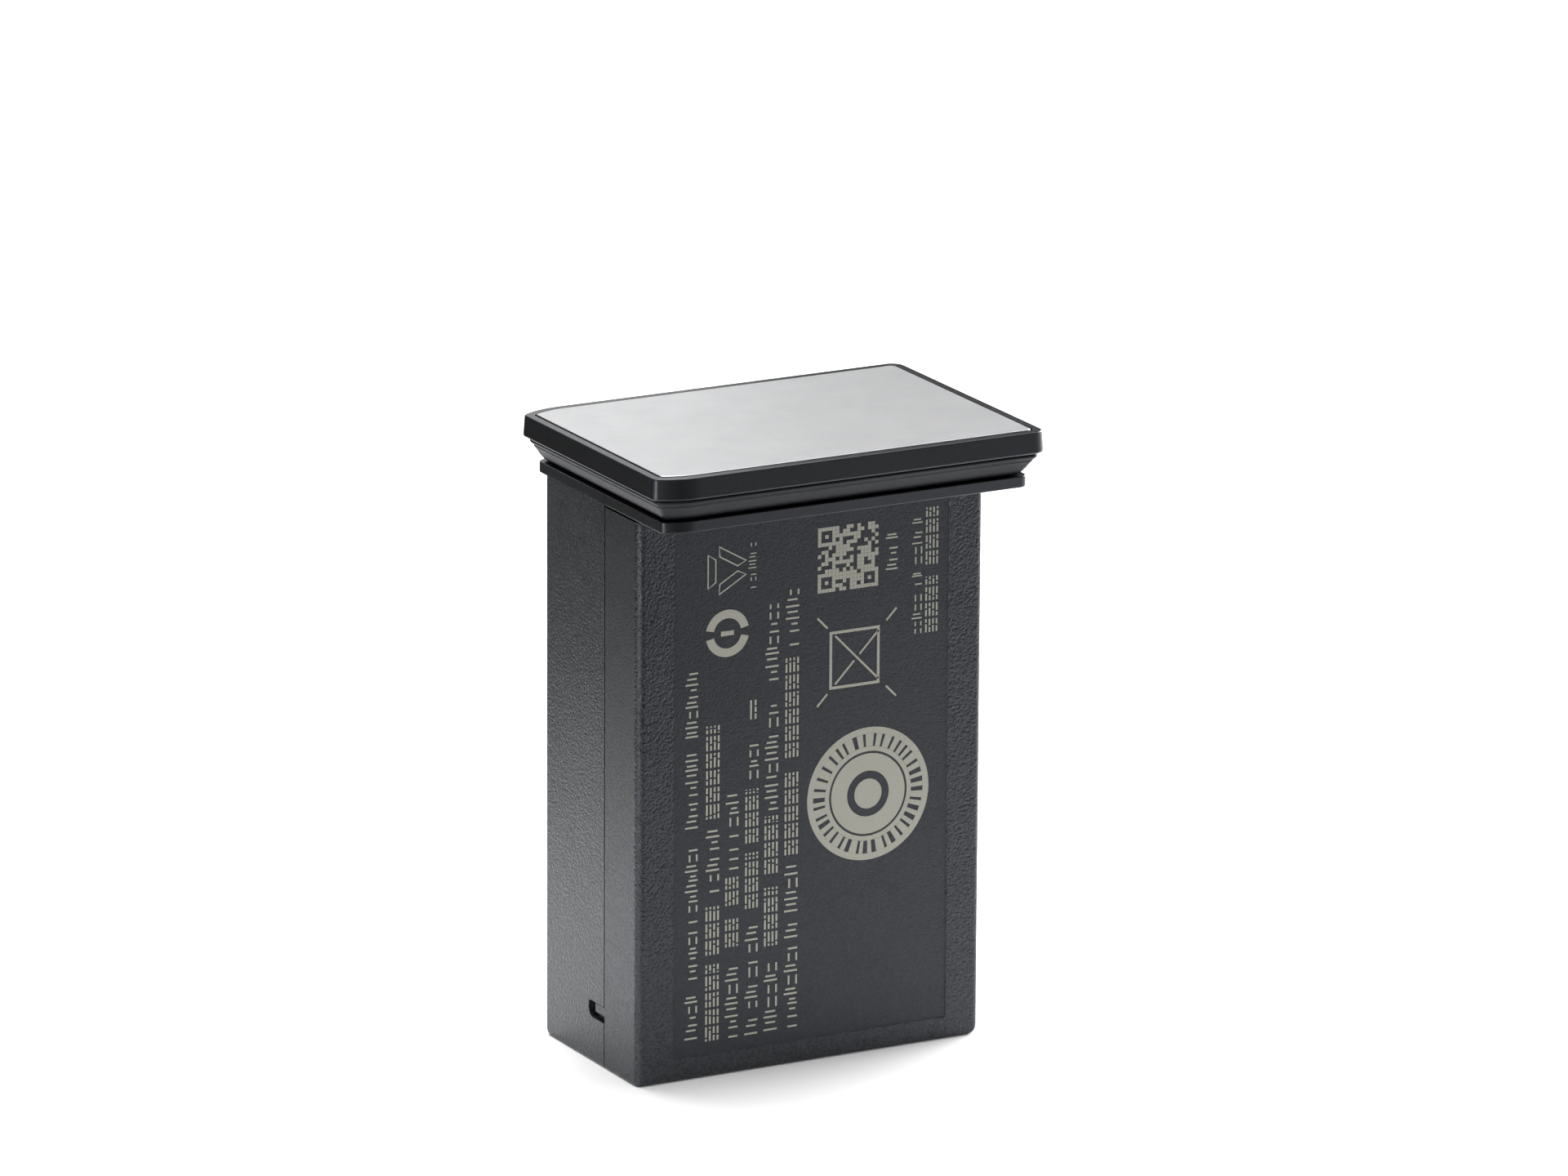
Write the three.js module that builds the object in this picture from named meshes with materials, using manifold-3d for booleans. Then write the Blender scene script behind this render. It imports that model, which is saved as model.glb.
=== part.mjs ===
// Camera battery pack with an integral base-plate lid.
// Millimetres, +Z up. The pack stands on its insertion end, the lid is on top.
// The printed face looks along -Y. The origin is the XY centre of the lid's box at z = 0.

import * as THREE from "three";
import Module from "manifold-3d";
import { mergeVertices } from "three/addons/utils/BufferGeometryUtils.js";

const wasm = await Module();
wasm.setup();

// ---------------------------------------------------------------- driving dimensions

// Body: two moulded shells that meet at a vertical seam.
const BODY_X0 = -19.75;
const BODY_X1 = 17.95;
const BODY_Y0 = -8.1;
const BODY_Y1 = 11.6;
const BODY_EDGE_R = 0.8;
const BODY_FOOT_R_RIGHT = 1.2;
const BODY_FOOT_R_REAR = 1.0;
const BODY_FOOT_R_LEFT = 0.4;
const BODY_FOOT_R_FRONT = 0.35;
const WALL = 1.2;
const CAVITY_TOP = 55.2;
const SEAM_Y = -1.17;
const SEAM_GAP = 0.15;
const COVER_TOP = 56.4;

// Flange plate, part of the rear shell. Its left end is flush with the body's left face.
const FLANGE_Z0 = 56.55;
const FLANGE_Z1 = 57.7;
const FLANGE_INSET = 1.4;

// Lid outline, measured at its lower edge.
const LID_HALF_X = 21.15;
const LID_HALF_Y = 15.05;
const LID_CORNER_R = 1.5;
const LID_END_R = 8.27;
const LID_END_RUN = 4.67;
const LID_END_CORNER_R = 1.0;
const LID_Z0 = 60.12;
const LID_Z1 = 62.25;
const LID_FLARE = 0.17;

// Silver inlay panel and its adhesive in the lid's recess.
const PANEL_INSET = LID_FLARE + 1.04;
const RECESS_INSET = LID_FLARE + 0.84;
const RECESS_FLOOR = 61.3;
const ADHESIVE_Z1 = 61.44;
const PANEL_Z0 = 61.45;
const PANEL_Z1 = 62.3;

// Neck under the lid, inside the seal ring.
const NECK_INSET = 3.5;
const NECK_Z0 = 57.72;
const SEAL_INNER_INSET = 3.45;

// Seal profile: inset from the lid's lower outline, and height.
const SEAL_PROFILE = [
  [0.9, 60.08],
  [0.7, 59.98],
  [0.63, 59.76],
  [0.76, 59.56],
  [0.98, 59.4],
  [0.9, 59.16],
  [1.04, 58.92],
  [1.26, 58.6],
  [1.55, 58.26],
  [1.98, 57.92],
  [2.5, 57.74],
];

// Label recess in the printed face.
const LABEL_X0 = -15.77;
const LABEL_X1 = 14.15;
const LABEL_Z0 = 2.3;
const LABEL_DEPTH = 0.12;

// Snap window in the rear shell's left wall. The cover's snap tongue lies behind the wall,
// and a catch on the tongue fills part of the window, flush with the outer face.
const WINDOW_Y1 = 2.08;
const WINDOW_Z0 = 4.53;
const WINDOW_Z1 = 6.2;
const WINDOW_R_LOW = 0.85;
const WINDOW_R_HIGH = 0.35;
const WINDOW_DEPTH = 1.3;
const LIP_OUT = 0.62;
const LIP_IN = 1.12;
const LIP_Y1 = -0.15;
const TONGUE_Y1 = 1.15;
const CATCH_Y1 = 0.95;
const CATCH_Z0 = 5.08;
const CATCH_Z1 = 6.15;

// Screws that hold the lid to the flange.
const SCREW_X = [-14.5, 12.8];
const SCREW_Y = [1.8, 8.6];
const SCREW_SHANK_R = 0.8;
const SCREW_HEAD_R = 1.7;
const SCREW_HEAD_Z0 = 55.3;
const SCREW_HEAD_Z1 = 56.2;
const SCREW_TIP = 60.6;

// Cells.
const CELL_X0 = -17.55;
const CELL_X1 = 15.85;
const CELL_THICK = 8.2;
const CELL_Z0 = 10.2;
const CELL_Z1 = 53.4;
const TERRACE_Z0 = 7.4;
const TERRACE_THICK = 0.9;
const CELL_A_Y = -2.6;
const CELL_B_Y = 5.8;

// Protection board, terminal block and contacts.
const BOARD_Z0 = 4.35;
const BOARD_Z1 = 5.15;
const BOARD_X0 = -16.6;
const BOARD_X1 = 16.3;
const BOARD_Y0 = -6.2;
const BOARD_Y1 = 9.8;
const CONTACT_COUNT = 5;
const CONTACT_PITCH = 3.6;
const CONTACT_X = -0.85;
const CONTACT_Y = 5.0;
const SLOT_W = 2.1;
const SLOT_L = 3.4;

// ---------------------------------------------------------------- solids

// Closed three.js geometry to a manifold solid.
function solid(geometry) {
  const g = geometry.clone();
  g.deleteAttribute("normal");
  g.deleteAttribute("uv");
  const m = mergeVertices(g, 1e-5);
  const mesh = new wasm.Mesh({
    numProp: 3,
    vertProperties: new Float32Array(m.attributes.position.array),
    triVerts: new Uint32Array(m.index.array),
  });
  return new wasm.Manifold(mesh);
}

// Manifold solid to a three.js geometry.
function geometryOf(body) {
  const m = body.getMesh();
  const g = new THREE.BufferGeometry();
  const count = m.vertProperties.length / m.numProp;
  const xyz = new Float32Array(count * 3);
  for (let i = 0; i < count; i++) {
    for (let k = 0; k < 3; k++) {
      xyz[3 * i + k] = m.vertProperties[m.numProp * i + k];
    }
  }
  g.setAttribute("position", new THREE.BufferAttribute(xyz, 3));
  g.setIndex(new THREE.BufferAttribute(new Uint32Array(m.triVerts), 1));
  g.computeVertexNormals();
  return g;
}

function box(x0, x1, y0, y1, z0, z1) {
  const g = new THREE.BoxGeometry(x1 - x0, y1 - y0, z1 - z0);
  g.translate((x0 + x1) / 2, (y0 + y1) / 2, (z0 + z1) / 2);
  return g;
}

function boxSolid(x0, x1, y0, y1, z0, z1) {
  return solid(box(x0, x1, y0, y1, z0, z1));
}

// Upright cylinder between two heights.
function post(x, y, r, z0, z1, sides = 24) {
  const g = new THREE.CylinderGeometry(r, r, z1 - z0, sides);
  g.rotateX(Math.PI / 2);
  g.translate(x, y, (z0 + z1) / 2);
  return g;
}

// Outline points extruded upward.
function prism(points, z0, z1) {
  const shape = new THREE.Shape(points.map((p) => new THREE.Vector2(p[0], p[1])));
  const g = new THREE.ExtrudeGeometry(shape, { depth: z1 - z0, bevelEnabled: false });
  g.translate(0, 0, z0);
  return g;
}

// Rounded rectangle with one radius per corner: order x0y0, x1y0, x1y1, x0y1.
function roundedRect(x0, x1, y0, y1, radii, steps = 6) {
  const corners = [
    [x0, y0, 1, 1, Math.PI],
    [x1, y0, -1, 1, -Math.PI / 2],
    [x1, y1, -1, -1, 0],
    [x0, y1, 1, -1, Math.PI / 2],
  ];
  const points = [];
  corners.forEach(([cx, cy, sx, sy, start], i) => {
    const r = radii[i];
    for (let k = 0; k <= steps; k++) {
      const a = start + (k / steps) * (Math.PI / 2);
      points.push([cx + sx * r + r * Math.cos(a), cy + sy * r + r * Math.sin(a)]);
    }
  });
  return points;
}

// Lid outline offset inward by "inset". The right end has plain round corners.
// At the left end both long sides curve inward to a short straight end.
function lidOutline(inset, cornerR, endCornerR, steps = 6) {
  const xl = -LID_HALF_X + inset;
  const xr = LID_HALF_X - inset;
  const yb = LID_HALF_Y - inset;
  const R = LID_END_R - inset;
  const ax = -LID_HALF_X + LID_END_RUN;
  const ay = LID_HALF_Y - LID_END_R;
  const fx = xl + endCornerR;
  const fy = ay + Math.sqrt((R - endCornerR) ** 2 - (fx - ax) ** 2);
  const join = Math.atan2(fy - ay, fx - ax);
  const half = [];
  for (let k = 0; k <= steps; k++) {
    const a = (k / steps) * (Math.PI / 2);
    half.push([xr - cornerR + cornerR * Math.cos(a), yb - cornerR + cornerR * Math.sin(a)]);
  }
  for (let k = 0; k <= 8; k++) {
    const a = Math.PI / 2 + (k / 8) * (join - Math.PI / 2);
    half.push([ax + R * Math.cos(a), ay + R * Math.sin(a)]);
  }
  for (let k = 1; k <= 4; k++) {
    const a = join + (k / 4) * (Math.PI - join);
    half.push([fx + endCornerR * Math.cos(a), fy + endCornerR * Math.sin(a)]);
  }
  const mirrored = half.map(([x, y]) => [x, -y]).reverse();
  return half.concat(mirrored);
}

// Skin through a list of rings that share one point count.
// closeLoop joins the last ring to the first, otherwise both ends are capped.
function loft(rings, closeLoop) {
  const n = rings[0].length;
  const xyz = [];
  const index = [];
  rings.forEach((ring) => ring.forEach((p) => xyz.push(p[0], p[1], p[2])));
  const last = closeLoop ? rings.length : rings.length - 1;
  for (let i = 0; i < last; i++) {
    const a = i * n;
    const b = ((i + 1) % rings.length) * n;
    for (let k = 0; k < n; k++) {
      const k2 = (k + 1) % n;
      index.push(a + k, a + k2, b + k2, a + k, b + k2, b + k);
    }
  }
  if (!closeLoop) {
    const cap = (ring) => ring.map((p) => new THREE.Vector2(p[0], p[1]));
    THREE.ShapeUtils.triangulateShape(cap(rings[0]), []).forEach((t) => {
      index.push(t[2], t[1], t[0]);
    });
    const top = (rings.length - 1) * n;
    THREE.ShapeUtils.triangulateShape(cap(rings[rings.length - 1]), []).forEach((t) => {
      index.push(top + t[0], top + t[1], top + t[2]);
    });
  }
  const g = new THREE.BufferGeometry();
  g.setAttribute("position", new THREE.Float32BufferAttribute(xyz, 3));
  g.setIndex(index);
  return g;
}

function at(points, z) {
  return points.map(([x, y]) => [x, y, z]);
}

// Profile in the XZ plane extruded along Y.
function prismAlongY(points, y0, y1) {
  const g = prism(points, 0, y1 - y0);
  g.rotateX(Math.PI / 2);
  g.translate(0, y1, 0);
  return g;
}

// Profile in the YZ plane extruded along X.
function prismAlongX(points, x0, x1) {
  const g = prism(points, 0, x1 - x0);
  g.rotateX(Math.PI / 2);
  g.rotateZ(Math.PI / 2);
  g.translate(x0, 0, 0);
  return g;
}

const group = new THREE.Group();
group.name = "camera_battery_pack";

function add(name, geometry, color, roughness, metalness) {
  const g = geometry.isBufferGeometry ? geometry : geometryOf(geometry);
  if (!g.attributes.normal) {
    g.computeVertexNormals();
  }
  const material = new THREE.MeshStandardMaterial({ color, roughness, metalness });
  material.name = name;
  const mesh = new THREE.Mesh(g, material);
  mesh.name = name;
  group.add(mesh);
  return mesh;
}

// ---------------------------------------------------------------- body shells

// Outer form of the closed body, below a given top.
function bodyOuter(top) {
  const r = BODY_EDGE_R;
  const plan = roundedRect(BODY_X0, BODY_X1, BODY_Y0, BODY_Y1, [r, r, r, r], 5);
  const front = roundedRect(
    BODY_X0, BODY_X1, 0, top + 4, [BODY_FOOT_R_LEFT, BODY_FOOT_R_RIGHT, 0.2, 0.2], 5);
  const side = roundedRect(
    BODY_Y0, BODY_Y1, 0, top + 4, [BODY_FOOT_R_FRONT, BODY_FOOT_R_REAR, 0.2, 0.2], 5);
  const upright = solid(prism(plan, 0, top));
  return upright
    .intersect(solid(prismAlongY(front, BODY_Y0 - 1, BODY_Y1 + 1)))
    .intersect(solid(prismAlongX(side, BODY_X0 - 1, BODY_X1 + 1)));
}

// Frame-shaped lip of the front cover, or the rebate it enters, in the XZ plane.
function lipRing(outer, inner, y0, y1) {
  const big = boxSolid(
    BODY_X0 + outer, BODY_X1 - outer, y0, y1, outer, CAVITY_TOP + WALL - outer);
  const small = boxSolid(
    BODY_X0 + inner, BODY_X1 - inner, y0 - 1, y1 + 1, inner, CAVITY_TOP + WALL - inner);
  return big.subtract(small);
}

function rearShell() {
  const y0 = SEAM_Y + SEAM_GAP / 2;
  let s = bodyOuter(FLANGE_Z0 + 0.2);
  s = s.subtract(boxSolid(-40, 40, -40, y0, -5, 80));
  s = s.subtract(boxSolid(
    BODY_X0 + WALL, BODY_X1 - WALL, y0 - 1, BODY_Y1 - WALL, WALL, CAVITY_TOP));
  const flange = lidOutline(FLANGE_INSET, 0.9, 0.7);
  s = s.add(solid(prism(flange, FLANGE_Z0, FLANGE_Z1)));
  // Rebate for the cover's lip.
  s = s.subtract(lipRing(LIP_OUT - 0.05, WALL + 0.1, y0 - 1, LIP_Y1 + 0.1));
  // Thicker pad behind the snap window.
  s = s.add(boxSolid(BODY_X0 + WALL - 0.2, BODY_X0 + 2.2, 0.0, 3.6, 3.2, 7.2));
  // Pocket for the snap tongue.
  s = s.subtract(boxSolid(
    BODY_X0 + LIP_OUT - 0.05, BODY_X0 + 1.3, y0 - 1, TONGUE_Y1 + 0.1, 3.4, 7.0));
  // Snap window with round corners at its closed end, open at the seam.
  const win = roundedRect(
    y0 - 1, WINDOW_Y1, WINDOW_Z0, WINDOW_Z1, [0.01, WINDOW_R_LOW, WINDOW_R_HIGH, 0.01], 5);
  s = s.subtract(solid(prismAlongX(win, BODY_X0 - 1, BODY_X0 + WINDOW_DEPTH)));
  // Terminal slots through the base wall.
  for (let i = 0; i < CONTACT_COUNT; i++) {
    const x = contactX(i);
    s = s.subtract(boxSolid(
      x - SLOT_W / 2, x + SLOT_W / 2, CONTACT_Y - SLOT_L / 2, CONTACT_Y + SLOT_L / 2,
      -1, WALL + 0.5));
  }
  // Board ledges on the base wall.
  [[-16.4, -13.6], [12.6, 15.4]].forEach(([xa, xb]) => {
    s = s.add(boxSolid(xa, xb, 6.2, 10.6, WALL - 0.2, BOARD_Z0 - 0.05));
  });
  // Screw holes and head pockets in the top wall.
  SCREW_X.forEach((x) => SCREW_Y.forEach((y) => {
    s = s.subtract(solid(post(x, y, SCREW_SHANK_R + 0.15, 50, 60)));
    s = s.subtract(solid(post(x, y, SCREW_HEAD_R + 0.2, 50, SCREW_HEAD_Z1 + 0.05)));
  }));
  return s;
}

function frontCover() {
  const y1 = SEAM_Y - SEAM_GAP / 2;
  let s = bodyOuter(COVER_TOP);
  s = s.subtract(boxSolid(-40, 40, y1, 40, -5, 80));
  s = s.subtract(boxSolid(
    BODY_X0 + WALL, BODY_X1 - WALL, BODY_Y0 + WALL, 40, WALL, CAVITY_TOP));
  // Sunk label field, running up to the top edge.
  s = s.subtract(boxSolid(
    LABEL_X0, LABEL_X1, BODY_Y0 - 1, BODY_Y0 + LABEL_DEPTH, LABEL_Z0, 80));
  // Lip that enters the rear shell, and the snap tongue.
  s = s.add(lipRing(LIP_OUT, LIP_IN + 0.08, y1 - 0.6, LIP_Y1));
  s = s.add(boxSolid(
    BODY_X0 + LIP_OUT, BODY_X0 + LIP_IN, y1 - 0.6, TONGUE_Y1, 3.5, 6.9));
  // Catch that stands in the snap window.
  s = s.add(boxSolid(
    BODY_X0, BODY_X0 + LIP_OUT + 0.1, y1 - 0.6, CATCH_Y1, CATCH_Z0, CATCH_Z1));
  return s;
}

// ---------------------------------------------------------------- lid

function lidFrame() {
  const low = at(lidOutline(0, LID_CORNER_R, LID_END_CORNER_R), LID_Z0);
  const high = at(lidOutline(LID_FLARE, 1.3, 0.7), LID_Z1);
  let s = solid(loft([low, high], false));
  const recess = lidOutline(RECESS_INSET, 0.7, 0.5);
  s = s.subtract(solid(prism(recess, RECESS_FLOOR, LID_Z1 + 1)));
  const neck = lidOutline(NECK_INSET, 0.8, 0.6);
  s = s.add(solid(prism(neck, NECK_Z0, LID_Z0 + 0.3)));
  // Coring pockets on the underside of the neck, clear of the screw bosses.
  s = s.subtract(boxSolid(-15.5, 15.5, -9.6, -1.4, NECK_Z0 - 1, LID_Z0));
  s = s.subtract(boxSolid(-10.4, 8.8, 0.4, 9.8, NECK_Z0 - 1, LID_Z0));
  SCREW_X.forEach((x) => SCREW_Y.forEach((y) => {
    s = s.subtract(solid(post(x, y, SCREW_SHANK_R + 0.03, 50, SCREW_TIP + 0.1)));
  }));
  return s;
}

function lidPanel() {
  return prism(lidOutline(PANEL_INSET, 0.5, 0.4), PANEL_Z0, PANEL_Z1);
}

function panelAdhesive() {
  return prism(lidOutline(PANEL_INSET + 0.6, 0.5, 0.4), RECESS_FLOOR + 0.01, ADHESIVE_Z1);
}

// Rubber lip seal: a lofted ring around the neck.
function lidSeal() {
  const rings = SEAL_PROFILE.map(([inset, z]) => {
    const corner = Math.max(LID_CORNER_R - inset, 0.8);
    return at(lidOutline(inset, corner, 0.7), z);
  });
  rings.push(at(lidOutline(SEAL_INNER_INSET, 0.8, 0.6), SEAL_PROFILE.at(-1)[1]));
  rings.push(at(lidOutline(SEAL_INNER_INSET, 0.8, 0.6), SEAL_PROFILE[0][1]));
  return loft(rings.reverse(), true);
}

// Pan head screw, driven upward from inside the shell, with a cross recess in the head.
function lidScrew(x, y) {
  let s = solid(post(x, y, SCREW_HEAD_R, SCREW_HEAD_Z0, SCREW_HEAD_Z1));
  s = s.add(solid(post(x, y, SCREW_SHANK_R, SCREW_HEAD_Z1 - 0.2, SCREW_TIP)));
  s = s.subtract(boxSolid(x - 1, x + 1, y - 0.18, y + 0.18, 50, SCREW_HEAD_Z0 + 0.45));
  s = s.subtract(boxSolid(x - 0.18, x + 0.18, y - 1, y + 1, 50, SCREW_HEAD_Z0 + 0.45));
  return s;
}

// ---------------------------------------------------------------- cells and board

// Pouch cell: pillow body with a thin sealed terrace at the tab end.
function cell(y) {
  const r = 1.6;
  const h = CELL_THICK / 2;
  const plan = roundedRect(CELL_X0, CELL_X1, y - h, y + h, [r, r, r, r], 5);
  let s = solid(prism(plan, CELL_Z0, CELL_Z1));
  s = s.add(boxSolid(
    CELL_X0 + 0.6, CELL_X1 - 0.6, y - TERRACE_THICK / 2, y + TERRACE_THICK / 2,
    TERRACE_Z0, CELL_Z0 + 0.4));
  return s;
}

// Nickel tab: upright strip beside the terrace with a foot on the board.
function tab(x, y, side) {
  const y0 = y + side * (TERRACE_THICK / 2 + 0.02);
  const y1 = y0 + side * 0.15;
  const lo = Math.min(y0, y1);
  const hi = Math.max(y0, y1);
  let s = boxSolid(x - 2, x + 2, lo, hi, BOARD_Z1 + 0.02, TERRACE_Z0 + 2);
  const foot = y0 + side * 1.8;
  s = s.add(boxSolid(
    x - 2, x + 2, Math.min(y0, foot), Math.max(y0, foot), BOARD_Z1 + 0.02, BOARD_Z1 + 0.17));
  return s;
}

function contactX(i) {
  return CONTACT_X + (i - (CONTACT_COUNT - 1) / 2) * CONTACT_PITCH;
}

// Moulded block that holds the contacts over the slots.
function terminalBlock() {
  let s = boxSolid(
    CONTACT_X - 9.4, CONTACT_X + 9.4, CONTACT_Y - 2.9, CONTACT_Y + 2.9,
    WALL + 0.02, BOARD_Z0 - 0.02);
  for (let i = 0; i < CONTACT_COUNT; i++) {
    const x = contactX(i);
    s = s.subtract(boxSolid(
      x - 1.05, x + 1.05, CONTACT_Y - 1.7, CONTACT_Y + 1.7, 0, WALL + 0.55));
    s = s.subtract(boxSolid(x - 0.5, x + 0.5, CONTACT_Y - 0.5, CONTACT_Y + 0.5, 0, 10));
  }
  return s;
}

// Gold plated contact: plate behind the slot and a post up to the board.
function contact(i) {
  const x = contactX(i);
  const plate = boxSolid(
    x - 0.95, x + 0.95, CONTACT_Y - 1.6, CONTACT_Y + 1.6, WALL + 0.12, WALL + 0.5);
  return plate.add(boxSolid(
    x - 0.4, x + 0.4, CONTACT_Y - 0.4, CONTACT_Y + 0.4, WALL + 0.3, BOARD_Z0 - 0.02));
}

// Insulating sheet between board parts and cells, slotted for the tabs.
function insulator() {
  let s = boxSolid(-16.8, 15.4, -6.4, 9.9, TERRACE_Z0 - 0.45, TERRACE_Z0 - 0.2);
  TABS.forEach(([, x, y, side]) => {
    const a = y + side * TERRACE_THICK / 2;
    const b = a + side * 0.5;
    s = s.subtract(boxSolid(
      x - 2.3, x + 2.3, Math.min(a, b) - 0.1, Math.max(a, b) + 0.1, 0, 20));
  });
  return s;
}

const TABS = [
  ["cell_a_tab_positive", -11.6, CELL_A_Y, -1],
  ["cell_a_tab_negative", 9.9, CELL_A_Y, -1],
  ["cell_b_tab_positive", 9.9, CELL_B_Y, 1],
  ["cell_b_tab_negative", -11.6, CELL_B_Y, 1],
];

// ---------------------------------------------------------------- assembly

add("rear_shell", rearShell(), 0x2b2c2f, 0.72, 0.0);
add("front_cover", frontCover(), 0x2c2d30, 0.72, 0.0);
add("lid_frame", lidFrame(), 0x25262a, 0.5, 0.0);
add("lid_seal", lidSeal(), 0x1d1e20, 0.6, 0.0);
add("panel_adhesive", panelAdhesive(), 0xe8e6dc, 0.8, 0.0);
add("lid_panel", lidPanel(), 0xd2d4d6, 0.42, 0.85);
let screwNumber = 1;
SCREW_X.forEach((x) => SCREW_Y.forEach((y) => {
  add("lid_screw_" + screwNumber, lidScrew(x, y), 0x8d9095, 0.35, 0.9);
  screwNumber += 1;
}));

add("cell_a", cell(CELL_A_Y), 0xb9bcc0, 0.4, 0.6);
add("cell_b", cell(CELL_B_Y), 0xb9bcc0, 0.4, 0.6);
TABS.forEach(([name, x, y, side]) => add(name, tab(x, y, side), 0xbfb9ae, 0.35, 0.9));
add("cell_bond_tape", box(
  CELL_X0 + 2, CELL_X1 - 2, (CELL_A_Y + CELL_B_Y) / 2 - 0.07,
  (CELL_A_Y + CELL_B_Y) / 2 + 0.07, CELL_Z0 + 3, CELL_Z1 - 3), 0xf0efe9, 0.8, 0.0);
add("front_tape", box(
  CELL_X0 + 4, CELL_X1 - 4, BODY_Y0 + WALL + 0.02, CELL_A_Y - CELL_THICK / 2 - 0.02,
  CELL_Z0 + 4, CELL_Z1 - 4), 0xd9d5c8, 0.8, 0.0);
add("rear_tape", box(
  CELL_X0 + 4, CELL_X1 - 4, CELL_B_Y + CELL_THICK / 2 + 0.02, BODY_Y1 - WALL - 0.02,
  CELL_Z0 + 4, CELL_Z1 - 4), 0xd9d5c8, 0.8, 0.0);
add("top_foam", box(
  CELL_X0 + 1, CELL_X1 - 1, -6.2, 9.4, CELL_Z1 + 0.05, CAVITY_TOP - 0.05), 0x3a3b3e, 0.95, 0.0);
add("insulator_sheet", insulator(), 0xb7a98a, 0.8, 0.0);

add("protection_board", box(
  BOARD_X0, BOARD_X1, BOARD_Y0, BOARD_Y1, BOARD_Z0, BOARD_Z1), 0x1f5a3a, 0.5, 0.0);
const CHIP_Z = BOARD_Z1 + 0.02;
add("protection_ic", box(-5.4, -2.4, -0.2, 2.8, CHIP_Z, CHIP_Z + 0.9), 0x18191b, 0.5, 0.0);
add("dual_mosfet", box(0.2, 4.6, -0.2, 2.8, CHIP_Z, CHIP_Z + 1.0), 0x18191b, 0.5, 0.0);
add("sense_resistor", box(6.2, 9.4, 0.6, 2.2, CHIP_Z, CHIP_Z + 0.55), 0x2a2b30, 0.5, 0.1);
add("thermistor", box(-9.8, -8.2, 0.9, 1.7, CHIP_Z, CHIP_Z + 0.6), 0x7a6f55, 0.6, 0.1);
add("thermal_fuse", box(-1.8, 5.2, 4.1, 7.3, CHIP_Z, CHIP_Z + 1.1), 0xcfc3a0, 0.5, 0.2);
add("terminal_block", terminalBlock(), 0x202124, 0.55, 0.0);
for (let i = 0; i < CONTACT_COUNT; i++) {
  add("contact_" + (i + 1), contact(i), 0xd7b25a, 0.25, 1.0);
}

export default group;
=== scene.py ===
import math

import bmesh
import bpy
import numpy as np
from mathutils import Matrix, Vector


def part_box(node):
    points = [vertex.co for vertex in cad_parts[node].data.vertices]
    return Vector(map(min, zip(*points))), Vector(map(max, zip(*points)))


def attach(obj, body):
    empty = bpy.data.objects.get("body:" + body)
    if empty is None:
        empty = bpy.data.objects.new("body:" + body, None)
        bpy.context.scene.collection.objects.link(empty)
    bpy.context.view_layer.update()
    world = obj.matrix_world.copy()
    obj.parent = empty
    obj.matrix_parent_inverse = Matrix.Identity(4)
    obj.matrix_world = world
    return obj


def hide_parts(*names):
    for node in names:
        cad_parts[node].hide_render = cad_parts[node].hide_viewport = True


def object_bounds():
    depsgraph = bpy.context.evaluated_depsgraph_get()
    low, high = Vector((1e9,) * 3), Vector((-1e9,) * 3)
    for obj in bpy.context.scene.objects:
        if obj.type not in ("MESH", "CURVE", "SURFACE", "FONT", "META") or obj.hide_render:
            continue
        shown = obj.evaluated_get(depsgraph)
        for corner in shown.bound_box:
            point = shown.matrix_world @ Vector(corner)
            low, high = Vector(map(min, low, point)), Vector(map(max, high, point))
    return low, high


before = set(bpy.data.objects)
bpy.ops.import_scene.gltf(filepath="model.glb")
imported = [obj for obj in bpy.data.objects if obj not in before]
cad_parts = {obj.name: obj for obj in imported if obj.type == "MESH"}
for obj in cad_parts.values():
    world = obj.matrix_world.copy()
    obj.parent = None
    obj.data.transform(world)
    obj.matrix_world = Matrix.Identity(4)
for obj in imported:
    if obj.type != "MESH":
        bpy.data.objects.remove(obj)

CAD_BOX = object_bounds()
MM = 0.001
scene = bpy.context.scene


# ------------------------------------------------------------------ places, in mm
def box_mm(node):
    lo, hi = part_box(node)
    return [c / MM for c in lo], [c / MM for c in hi]


COVER_LO, COVER_HI = box_mm("front_cover")
REAR_HI = box_mm("rear_shell")[1]
LID_LO, LID_HI = box_mm("lid_frame")
SEAL_LO, SEAL_HI = box_mm("lid_seal")
PANEL_LO, PANEL_HI = box_mm("lid_panel")
CONTACT_BOXES = [box_mm(n) for n in sorted(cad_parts) if n.startswith("contact_")]

# Body: outer faces, top of the front cover, flange, walls and cavity.
X0, X1 = COVER_LO[0], COVER_HI[0]
Y0, Y1 = COVER_LO[1], 11.6
COVER_TOP = COVER_HI[2]
FLANGE_THICK = 1.15
FLANGE_Z1 = REAR_HI[2]
FLANGE_Z0 = FLANGE_Z1 - FLANGE_THICK
FLANGE_INSET = LID_HI[1] - REAR_HI[1]
WALL = 1.2
CAVITY_TOP = 55.2
# The seam between front cover and rear shell, and the lip behind it. LIP_OUT and LIP_IN are
# measured inward from the outside of the body.
SEAM_Y, SEAM_GAP = -1.17, 0.15
REAR_FACE_Y, COVER_FACE_Y = SEAM_Y + SEAM_GAP / 2, SEAM_Y - SEAM_GAP / 2
LIP_OUT, LIP_IN, LIP_Y1 = 0.62, 1.2, -0.15
LIP_PLAY = 0.05
# The snap low on the left face: tongue behind the wall, catch on it, and window for the catch.
TONGUE_Y1, TONGUE_Z0, TONGUE_Z1 = 1.15, 3.5, 6.9
CATCH_Y1, CATCH_Z0, CATCH_Z1 = 0.95, 5.08, 6.15
WINDOW_Y1, WINDOW_Z0, WINDOW_Z1 = 2.08, 4.53, 6.2
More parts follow.
